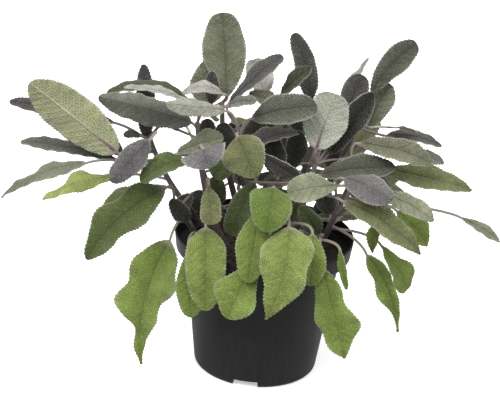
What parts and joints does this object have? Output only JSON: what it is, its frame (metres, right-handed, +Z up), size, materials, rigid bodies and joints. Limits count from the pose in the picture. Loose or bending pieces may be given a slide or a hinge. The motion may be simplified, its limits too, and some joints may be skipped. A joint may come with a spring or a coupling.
{
  "type": "potted sage",
  "caption": "Purple-leaved sage with oblong crinkled leaves on long petioles, growing from soil in a tapered black plastic nursery pot.",
  "frame": {"origin": "centre of the pot's underside, in the plane that it rests on", "axes": "+Z up, -Y towards the plant's front and the camera of the picture, +X to the right as seen from there"},
  "size_m": [0.3265, 0.2269, 0.2386],
  "materials": {
    "black_plastic": "satin, with faint vertical mould streaks",
    "compost": "matte, crumbly",
    "grey_leaf": "matte, pebbled, with a fine pale fuzz",
    "green_leaf": "matte, pebbled, with a fine pale fuzz"
  },
  "bodies": {
    "root": {"pot": "black_plastic", "soil": "compost", "leafy_stem_left_low": "green_leaf", "leafy_stem_left": "grey_leaf", "leafy_stem_left_middle": "grey_leaf", "leafy_stem_left_back": "grey_leaf", "leafy_stem_middle": "grey_leaf", "leafy_stem_back": "grey_leaf", "leafy_stem_front": "green_leaf", "leafy_stem_right_middle": "grey_leaf", "leafy_stem_right": "grey_leaf", "leafy_stem_right_back": "grey_leaf", "leafy_stem_right_front": "green_leaf", "leafy_stem_back_left_low": "grey_leaf", "leafy_stem_back_right_low": "grey_leaf"}
  },
  "joints": []
}
